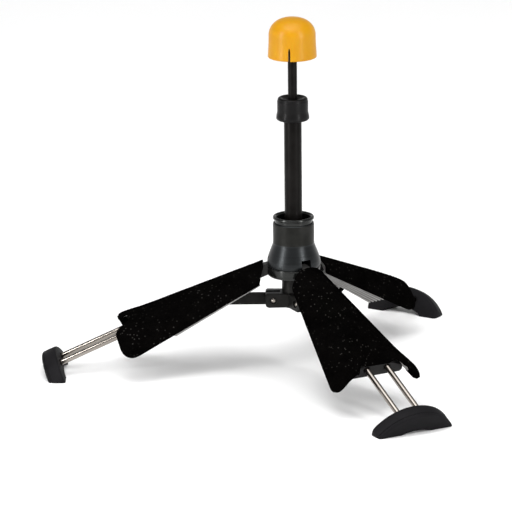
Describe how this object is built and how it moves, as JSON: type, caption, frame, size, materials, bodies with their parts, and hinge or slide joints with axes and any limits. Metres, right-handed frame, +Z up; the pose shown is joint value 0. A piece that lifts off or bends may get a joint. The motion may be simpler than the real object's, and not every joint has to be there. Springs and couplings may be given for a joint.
{
  "type": "folding in-bell instrument stand",
  "caption": "Folding stand that fits inside a cornet or trumpet bell: padded legs hang from a sliding hub, with telescoping feet and a dome-capped tip.",
  "frame": {"origin": "on the floor, below the middle of the open stand's box", "axes": "+Z up along the column, -X along the first leg, +Y across"},
  "size_m": [0.2258, 0.2512, 0.1988],
  "materials": {
    "black_metal": "satin black coating",
    "hub_metal": "satin dark grey, finely turned",
    "rod_steel": "polished steel rod",
    "pin_steel": "plain steel pins and screws",
    "black_plastic": "moulded, glossy top, satin body",
    "grey_plastic": "moulded, matt",
    "yellow_plastic": "moulded, semi-matt amber yellow",
    "velvet": "short black velvet pile",
    "rubber": "moulded matt rubber"
  },
  "bodies": {
    "column": {"centre_tube": "black_metal", "tube_plug": "pin_steel", "column_screw": "pin_steel", "tube_collar": "black_plastic", "spreader": "black_metal", "strut_inner_pin_1": "pin_steel", "strut_inner_pin_2": "pin_steel", "strut_inner_pin_3": "pin_steel"},
    "tip": {"tip_rod": "black_metal", "tip_cap": "yellow_plastic"},
    "hub": {"hub_housing": "hub_metal", "hub_base_ring": "hub_metal", "mouth_ring": "hub_metal", "leg_hinge_pin_1": "pin_steel", "leg_hinge_pin_2": "pin_steel", "leg_hinge_pin_3": "pin_steel", "hub_screw_1": "pin_steel", "hub_screw_2": "pin_steel", "hub_screw_3": "pin_steel"},
    "leg_1": {"leg_shell_1": "grey_plastic", "leg_cover_1": "velvet", "rod_guide_1": "grey_plastic"},
    "extension_1": {"rod_left_1": "rod_steel", "rod_right_1": "rod_steel", "rubber_foot_1": "rubber"},
    "strut_link_1": {"strut_1": "black_metal", "strut_outer_pin_1": "pin_steel"},
    "leg_2": {"leg_shell_2": "grey_plastic", "leg_cover_2": "velvet", "rod_guide_2": "grey_plastic"},
    "extension_2": {"rod_left_2": "rod_steel", "rod_right_2": "rod_steel", "rubber_foot_2": "rubber"},
    "strut_link_2": {"strut_2": "black_metal", "strut_outer_pin_2": "pin_steel"},
    "leg_3": {"leg_shell_3": "grey_plastic", "leg_cover_3": "velvet", "rod_guide_3": "grey_plastic"},
    "extension_3": {"rod_left_3": "rod_steel", "rod_right_3": "rod_steel", "rubber_foot_3": "rubber"},
    "strut_link_3": {"strut_3": "black_metal", "strut_outer_pin_3": "pin_steel"}
  },
  "joints": [
    {"name": "hub_slide", "type": "slide", "parent": "column", "child": "hub", "axis": [0, 0, 1], "range_m": [0, 0.065]},
    {"name": "tip_slide", "type": "slide", "parent": "column", "child": "tip", "axis": [0, 0, -1], "range_m": [0, 0.02]},
    {"name": "leg_1_fold", "type": "hinge", "parent": "hub", "child": "leg_1", "pos_m": [0.01722, 0.00089, 0.0598], "axis": [0, -1, 0], "range_deg": [0, 53]},
    {"name": "strut_1_swing", "type": "hinge", "parent": "column", "child": "strut_link_1", "pos_m": [0.01542, 0.00089, 0.0408], "axis": [0, 1, 0], "range_deg": [0, 65.6]},
    {"name": "foot_1_slide", "type": "slide", "parent": "leg_1", "child": "extension_1", "axis": [0.9085, 0, 0.4179], "range_m": [0, 0.028]},
    {"name": "leg_2_fold", "type": "hinge", "parent": "hub", "child": "leg_2", "pos_m": [0.03125, -0.00746, 0.0598], "axis": [0.8788, 0.4772, 0], "range_deg": [0, 53]},
    {"name": "strut_2_swing", "type": "hinge", "parent": "column", "child": "strut_link_2", "pos_m": [0.03211, -0.00904, 0.0408], "axis": [-0.8788, -0.4772, 0], "range_deg": [0, 65.6]},
    {"name": "foot_2_slide", "type": "slide", "parent": "leg_2", "child": "extension_2", "axis": [-0.4335, 0.7984, 0.4179], "range_m": [0, 0.028]},
    {"name": "leg_3_fold", "type": "hinge", "parent": "hub", "child": "leg_3", "pos_m": [0.03157, 0.00906, 0.0598], "axis": [-0.8599, 0.5105, 0], "range_deg": [0, 53]},
    {"name": "strut_3_swing", "type": "hinge", "parent": "column", "child": "strut_link_3", "pos_m": [0.03249, 0.01061, 0.0408], "axis": [0.8599, -0.5105, 0], "range_deg": [0, 65.6]},
    {"name": "foot_3_slide", "type": "slide", "parent": "leg_3", "child": "extension_3", "axis": [-0.4638, -0.7812, 0.4179], "range_m": [0, 0.028]}
  ],
  "couplings": [
    {"joint": "leg_1_fold", "follows": "hub_slide", "rad_per_m": 14.23},
    {"joint": "strut_1_swing", "follows": "hub_slide", "rad_per_m": 17.61},
    {"joint": "leg_2_fold", "follows": "hub_slide", "rad_per_m": 14.23},
    {"joint": "strut_2_swing", "follows": "hub_slide", "rad_per_m": 17.61},
    {"joint": "leg_3_fold", "follows": "hub_slide", "rad_per_m": 14.23},
    {"joint": "strut_3_swing", "follows": "hub_slide", "rad_per_m": 17.61}
  ]
}
